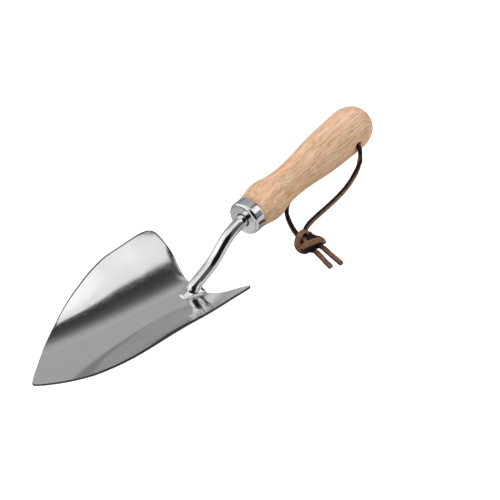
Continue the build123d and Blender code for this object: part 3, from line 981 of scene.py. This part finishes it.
THROUGH_HOLE = [(HOLE_X, y, 0) for y in (-5.0, -2.0, 2.0, 5.0)]
INNER_TURN_1 = [(24.6, -29.5, -17.4), (21.6, -32.6, -17.2), (18.6, -36.0, -16.8),
                (16.6, -38.6, -17.2)]
INNER_TURN_2 = [(13.2, -32.6, -16.4), (13.6, -35.4, -16.6), (15.4, -38.0, -17.0),
                (18.0, -40.0, -17.6)]
TAIL_1 = [(22.0, -40.2, -19.3), (23.0, -43.6, -19.6), (22.6, -47.2, -19.8),
          (21.29, -52.1, -19.9), (19.94, -58.01, -20.0), (18.59, -63.5, -20.1)]
TAIL_2 = [(16.4, -38.2, -17.8), (16.9, -42.2, -19.2), (16.4, -46.0, -19.9),
          (15.3, -50.0, -20.2), (13.9, -54.0, -20.4), (12.3, -59.6, -20.6)]
KNOT_CENTRE = np.array([19.0, -36.0, -16.6])
STRIP_STEP = 0.42
STRIP_CORNER = 0.55
UP = (0.0, 0.0, 1.0)
UP_AND_BACK = (0.55, 0.0, 0.8)


def strip_section():
    """Squared section with round corners.

    Columns: share of the half width, share of the half thickness (both short of the
    corner radius), then the fixed offsets across and up.
    """
    corners = []
    for cx, cy, start in ((1, 1, 0), (-1, 1, 90), (-1, -1, 180), (1, -1, 270)):
        for a in np.radians(np.linspace(start, start + 90, 4)):
            corners.append(np.array([cx, cy, math.cos(a) * STRIP_CORNER,
                                     math.sin(a) * STRIP_CORNER]))
    section = []
    for i, point in enumerate(corners):
        section.append(point)
        if i % 4 == 3:                          # three more points along each flat side
            following = corners[(i + 1) % len(corners)]
            section += [point + (following - point) * q for q in (0.25, 0.5, 0.75)]
    return np.array(section)


def strip_frame(path, facing):
    """Tangents, and the smoothed direction that the dark face looks to."""
    tangents = tangents_of(path)
    count = len(path)
    up = facing(path) if callable(facing) else np.tile(facing, (count, 1))
    up = square_to(up, tangents)
    for i in range(1, count):                   # keep the frame from flipping
        if (up[i] * up[i - 1]).sum() < 0:
            up[i] = -up[i]
    for _ in range(14):
        up[1:-1] = (up[:-2] + up[1:-1] * 2 + up[2:]) / 4
        up = square_to(up, tangents)
    return tangents, up


def strip(name, points, seed, facing=UP, width=3.0, thick=2.7, suede_and_painted_light=None, widening=None):
    """Squared leather strip along a path.

    facing is a direction or a function of the path. suede gives the attribute, pale cut
    sides and painted light, from the path, the share of cut side and how far the surface
    looks up. widening scales the section.
    """
    path = spline_through(points, STRIP_STEP)
    tangents, up = strip_frame(path, facing)
    across = np.cross(tangents, up)
    random = np.random.default_rng(seed)
    length = np.arange(len(path)) * STRIP_STEP

    def wobble(amount, wavelength, phase):
        shift = phase * 1.7 + random.random() * 6
        return amount * np.sin(length * 2 * np.pi / wavelength + shift)

    widths = width * (1 + wobble(0.03, 11, 1) + wobble(0.018, 4.3, 2))
    thicks = thick * (1 + wobble(0.035, 9, 3) + wobble(0.02, 3.6, 4))
    if widening is not None:
        factor = widening(path)
        widths = widths * factor
        thicks = thicks * (1 + (factor - 1) * 0.45)

    section = strip_section()
    half_width, half_thick = widths[:, None] / 2, thicks[:, None] / 2
    b = section[:, 0] * (half_width - STRIP_CORNER) + section[:, 2]
    u = section[:, 1] * (half_thick - STRIP_CORNER) + section[:, 3]
    uneven = 1 + random.normal(0, 0.012, b.shape)[..., None]
    offsets = across[:, None] * b[..., None] * uneven + up[:, None] * u[..., None] * uneven
    cut_side = np.clip((np.abs(b) / half_width - np.abs(u) / half_thick) * 2.2 + 0.5, 0, 1)
    lift = unit(offsets)[..., 2]
    values = cut_side if suede_and_painted_light is None else suede_and_painted_light(path[:, None], cut_side, lift)

    verts = list((path[:, None] + offsets).reshape(-1, 3))
    values = list(values.ravel())
    rings = np.arange(len(verts)).reshape(len(path), -1)
    faces = []
    for ring_a, ring_b in zip(rings, rings[1:]):
        faces += bridge(ring_a, ring_b)
    # cut ends: inset ring, then a fan
    count = len(section)
    for i, sign in ((0, -1), (-1, 1)):
        start = len(verts)
        middle = path[i] + tangents[i] * sign * 0.22
        verts += list(middle + offsets[i] * 0.9) + [middle]
        values += [0.85] * count + [0.8]
        for k in range(count):
            after = (k + 1) % count
            faces.append((rings[i][k], start + k, start + after, rings[i][after]))
            faces.append((start + k, start + count, start + after))
    return make_object(name, np.array(verts), faces, [leather_mat], suede_and_painted_light=values)


def strand_facing(path):
    """Up along the strands, up and back at the hole, outwards inside the knot."""
    at_hole = np.clip((path[:, 0] - 88) / 12, 0, 1)[:, None]
    loose = np.array([0.05, 0.25, 0.97]) * (1 - at_hole) + np.array(UP_AND_BACK) * at_hole
    from_knot = path - KNOT_CENTRE
    in_knot = np.clip((14 - np.linalg.norm(from_knot, axis=1)) / 6, 0, 1)[:, None]
    return loose * (1 - in_knot) + unit(from_knot) * in_knot


def knot_widening(path):
    """The strip is wider where the knot is pulled tight, most of all on its top."""
    distance = np.linalg.norm(path - KNOT_CENTRE, axis=1)
    in_knot = np.clip((12.5 - distance) / 3.5, 0, 1)
    on_top = np.clip((path[:, 2] + 16.4) / 2.4, 0, 1)
    return 1 + 0.34 * in_knot + 0.20 * in_knot * on_top


def strand_suede_and_painted_light(path, cut_side, lift):
    """Pale cut sides on the strands, fading at the hole; in the knot, painted light: upward
    faces are pale, and the lower parts get the dark colour as painted shade.
    """
    distance = np.linalg.norm(path - KNOT_CENTRE, axis=-1)
    in_knot = np.clip((13.0 - distance) / 3.0, 0, 1)
    # painted shade: lower parts of the knot lean to the dark colour
    height = 0.92 * np.clip((path[..., 2] + 18.6) / 1.2, 0.20, 1)
    # painted light: faces that look up are paler
    knot_painted_light = height * np.clip((lift + 0.10) / 0.45, 0.06, 1)
    off_hole = np.clip((101.5 - path[..., 0]) / 4, 0.25, 1)
    return cut_side * (1 - in_knot) * 0.95 * off_hole + knot_painted_light * in_knot


def tail_suede_and_painted_light(path, cut_side, lift):
    # painted light: the ends are paler where the surface looks up, darker where it looks down
    return 0.54 * np.clip((lift + 0.05) / 0.5, 0.1, 1)


def even_suede(value):
    return lambda path, cut_side, lift: np.full_like(cut_side, value)


strand_looks = dict(facing=strand_facing, suede_and_painted_light=strand_suede_and_painted_light, widening=knot_widening)
near = strip("thong_near_strand", NEAR + NEAR_IN_KNOT, seed=3, **strand_looks)
far = strip("thong_far_strand", FAR + FAR_IN_KNOT, seed=5, **strand_looks)
through = strip("thong_through_hole", THROUGH_HOLE, seed=9, facing=UP_AND_BACK,
                width=2.98, thick=2.68)
turn_1 = strip("thong_inner_turn", INNER_TURN_1, seed=21, width=7.4, thick=3.4,
               suede_and_painted_light=even_suede(0.05))
turn_2 = strip("thong_inner_turn_2", INNER_TURN_2, seed=22, width=5.2, thick=3.2,
               suede_and_painted_light=even_suede(0.06))
tail_1 = strip("thong_end_1", TAIL_1, seed=11, width=3.1, thick=2.5, suede_and_painted_light=tail_suede_and_painted_light)
tail_2 = strip("thong_end_2", TAIL_2, seed=12, width=3.1, thick=2.5, suede_and_painted_light=tail_suede_and_painted_light)
for piece, body in ((near, "thong"), (far, "thong"), (through, "thong"), (turn_1, "thong"),
                    (turn_2, "thong"), (tail_1, "tail_1"), (tail_2, "tail_2")):
    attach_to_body(piece, body)
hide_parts("thong_knot")
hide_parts("thong_loop")
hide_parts("thong_tail_1")
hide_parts("thong_tail_2")


# ---------------------------------------------------------------------------
# studio floor: a disc that looks white to the camera
# ---------------------------------------------------------------------------
FLOOR_GAP = 0.0006                              # metres below the lowest CAD point
FLOOR_RINGS = [400.0, 1000.0, 2000.0, 4000.0, 9000.0]
FLOOR_SEGMENTS = 64


def floor_material():
    m = Material("floor_white")
    y = m.separate(m.coords())["Y"]
    # the floor reflects less light towards +Y
    across = m.math("ADD", m.times(y, 5.0), 0.3, clamp=True)
    m.put_all(m.bsdf, {"Base Color": m.ramp(across, [(0.36, 0.62), (0.60, 0.30)]),
                       "Roughness": 0.9})
    seen = m.new("ShaderNodeLightPath").outputs["Is Camera Ray"]
    glow = m.new("ShaderNodeEmission")
    m.put_all(glow, {"Color": (1, 1, 1), "Strength": m.times(seen, 0.88)})
    total = m.new("ShaderNodeAddShader")
    m.link(m.bsdf.outputs[0], total.inputs[0])
    m.link(glow.outputs[0], total.inputs[1])
    m.link(total.outputs[0], m.out.inputs[0])
    return m.material


def build_floor():
    count = FLOOR_SEGMENTS
    z = (cad_box[0][2] - FLOOR_GAP) / MM
    verts = [(0, 0, z)]
    for r in FLOOR_RINGS:
        verts += [(r * math.cos(a), r * math.sin(a), z)
                  for a in np.arange(count) * 2 * np.pi / count]
    faces = [(0, 1 + k, 1 + (k + 1) % count) for k in range(count)]
    for ring in range(len(FLOOR_RINGS) - 1):
        for k in range(count):
            a = 1 + ring * count + k
            b = 1 + ring * count + (k + 1) % count
            faces.append((a, a + count, b + count, b))
    return make_object("studio_floor", verts, faces, [floor_material()],
                       smooth=False, outward=False)


build_floor()

# ---------------------------------------------------------------------------
# surround: soft boxes and dark flags by bearing (degrees from +X towards +Y) and height
# ---------------------------------------------------------------------------
# bearing, brightness
AROUND = [
    (-180, 1.0), (-172, 0.90), (-166, 0.03), (-150, 0.010), (-92, 0.012), (-80, 0.10),
    (-50, 0.17), (14, 0.50), (60, 0.29), (78, 0.50), (104, 1.20), (150, 1.30),
    (172, 1.10), (180, 1.0),
]
# degrees from a leaning edge, brightness
FLAG = [
    (-30, 1.36), (-12.5, 1.36), (-7, 1.18), (-4.5, 1.02), (-0.6, 1.06), (0.5, 0.030),
    (11, 0.064), (17, 0.095), (24, 0.22), (31, 0.42), (38, 0.49), (46, 0.52), (60, 0.52),
]
CARD = [(-40, 0.52), (-3, 0.50), (-0.9, 0.48), (1.0, 0.245), (20, 0.255), (40, 0.29)]


def degree_stops(low, high, stops):
    """Stops placed in degrees, as shares of the span from low to high."""
    return [((degrees - low) / (high - low), value) for degrees, value in stops]


def build_world():
    world = bpy.data.worlds.new("studio")
    scene.world = world
    world.use_nodes = True
    w = Shader(world.node_tree)

    direction = w.separate(w.new("ShaderNodeTexCoord").outputs["Generated"])
    turn = w.math("ARCTAN2", direction["Y"], direction["X"])
    bearing_share = w.math("MULTIPLY_ADD", turn, 1 / (2 * math.pi), 0.5)
    height_share = w.math("MULTIPLY_ADD", w.math("ARCSINE", direction["Z"]), 1 / math.pi, 0.5)
    bearing = w.math("MULTIPLY_ADD", bearing_share, 360.0, -180.0)
    height = w.math("MULTIPLY_ADD", height_share, 180.0, -90.0)

    def leaning_ramp(lean, shift, stops):
        """Ramp by bearing about an edge that leans with height."""
        place = w.plus(w.math("MULTIPLY_ADD", height, lean, shift), bearing)
        share = w.math("MULTIPLY_ADD", place, 1 / 120, 0.5, clamp=True)
        return w.ramp(share, degree_stops(-60, 60, stops))

    def height_ramp(stops):
        share = w.math("MULTIPLY_ADD", height, 1 / 90, 0.0, clamp=True)
        return w.ramp(share, degree_stops(0, 90, stops))

    def bearing_between(low, high):
        return w.times(w.math("GREATER_THAN", bearing, low),
                       w.math("LESS_THAN", bearing, high))

    # bearings -50 to 14: a long dark flag with a nearly upright edge, grey low down
    flag = leaning_ramp(lean=-0.28, shift=37.3, stops=FLAG)
    grey_side = leaning_ramp(lean=-0.6, shift=46.6,
                             stops=[(-60, 1.0), (-14.5, 1.0), (-12.5, 0.0), (60, 0.0)])
    low_down = w.math("LESS_THAN", height, 27.0)
    flag = w.mix(w.times(low_down, grey_side), flag, (0.19, 0.19, 0.19))
    around = w.ramp(bearing_share, degree_stops(-180, 180, AROUND))
    sky = w.mix(bearing_between(-50.0, 14.0), around, flag)

    # bearings 14 to 60: the grey card on the far side from the camera
    card = leaning_ramp(lean=0.43, shift=-46.5, stops=CARD)
    card_foot = height_ramp([(0, 1.0), (12.2, 1.0), (14.8, 0.0), (90, 0.0)])
    card = w.mix(card_foot, (0.46, 0.46, 0.465), card)
    # the mask is 1 between the two bearings, so the card comes second
    sky = w.mix(bearing_between(14.0, 60.0), sky, card)

    # bearings -90 to -50: a dark strip higher up
    strip_mask = height_ramp([(35, 0.0), (39, 1.0), (49, 1.0), (53, 0.0)])
    above = w.math("GREATER_THAN", bearing, -90.0)
    below = w.math("LESS_THAN", bearing, -50.0)
    sky = w.mix(w.times(above, w.times(below, strip_mask)), sky, (0.12, 0.12, 0.12))

    # bright overhead; on the camera's side the dark surround reaches 14 degrees higher
    hood = w.ramp(bearing_share, degree_stops(-180, 180, [
        (-175, 0.0), (-160, 1.0), (-66, 1.0), (-42, 0.0)]))
    overhead = w.ramp(w.math("MULTIPLY_ADD", hood, -14 / 180, height_share),
                      degree_stops(-90, 90, [(-90, 0.0), (52, 0.0), (60, 1.0), (90, 1.0)]),
                      interpolation="EASE")
    sky = w.mix(overhead, sky, (0.95, 0.95, 0.95))

    # the camera itself sees plain white
    seen = w.new("ShaderNodeLightPath").outputs["Is Camera Ray"]
    background = w.new("ShaderNodeBackground")
    w.put_all(background, {"Strength": 1.0, "Color": w.mix(seen, sky, (1.0, 1.0, 1.0))})
    output = w.new("ShaderNodeOutputWorld")
    w.link(background.outputs[0], output.inputs[0])


build_world()


# ---------------------------------------------------------------------------
# lights and camera, in metres
# ---------------------------------------------------------------------------
def area_light(name, place, target, size, power):
    """Soft light that doesn't show in reflections."""
    light = bpy.data.lights.new(name, "AREA")
    light.shape = "RECTANGLE"
    light.size, light.size_y = size
    light.energy = power
    light.color = (1.0, 0.99, 0.975)
    obj = bpy.data.objects.new(name, light)
    scene.collection.objects.link(obj)
    obj.location = place
    aim = Vector(target) - Vector(place)
    obj.rotation_euler = aim.to_track_quat("-Z", "Y").to_euler()
    obj.visible_glossy = False


area_light("key_soft", place=(-0.35, 0.75, 1.35), target=(0, 0, 0), size=(1.0, 0.8), power=14)
area_light("fill_soft", place=(0.9, -0.9, 0.9), target=(0, 0, 0), size=(0.9, 0.9), power=4)
area_light("fill_near", place=(0.1, -1.15, 0.26), target=(0.05, 0, 0), size=(1.0, 0.5),
           power=4.8)

scene.view_settings.view_transform = "Standard"
scene.view_settings.look = "None"
scene.view_settings.exposure = 0.0
scene.view_settings.gamma = 1.0

CAMERA_PLACE = (-0.5796, -0.4674, 0.6842)
CAMERA_FORWARD = (0.5619, 0.4517, -0.6929)
CAMERA_RIGHT = (0.6233, -0.7820, -0.0044)


def build_camera():
    data = bpy.data.cameras.new("camera")
    data.sensor_fit = "HORIZONTAL"
    data.sensor_width = 36.0
    data.lens = 110.50848
    data.clip_start = 0.01
    data.clip_end = 50
    camera = bpy.data.objects.new("camera", data)
    scene.collection.objects.link(camera)
    forward = Vector(CAMERA_FORWARD).normalized()
    right = Vector(CAMERA_RIGHT)
    right = (right - forward * right.dot(forward)).normalized()
    up = right.cross(forward)
    rows = [(right[i], up[i], -forward[i], CAMERA_PLACE[i]) for i in range(3)]
    camera.matrix_world = Matrix((*rows, (0, 0, 0, 1)))
    scene.camera = camera


build_camera()
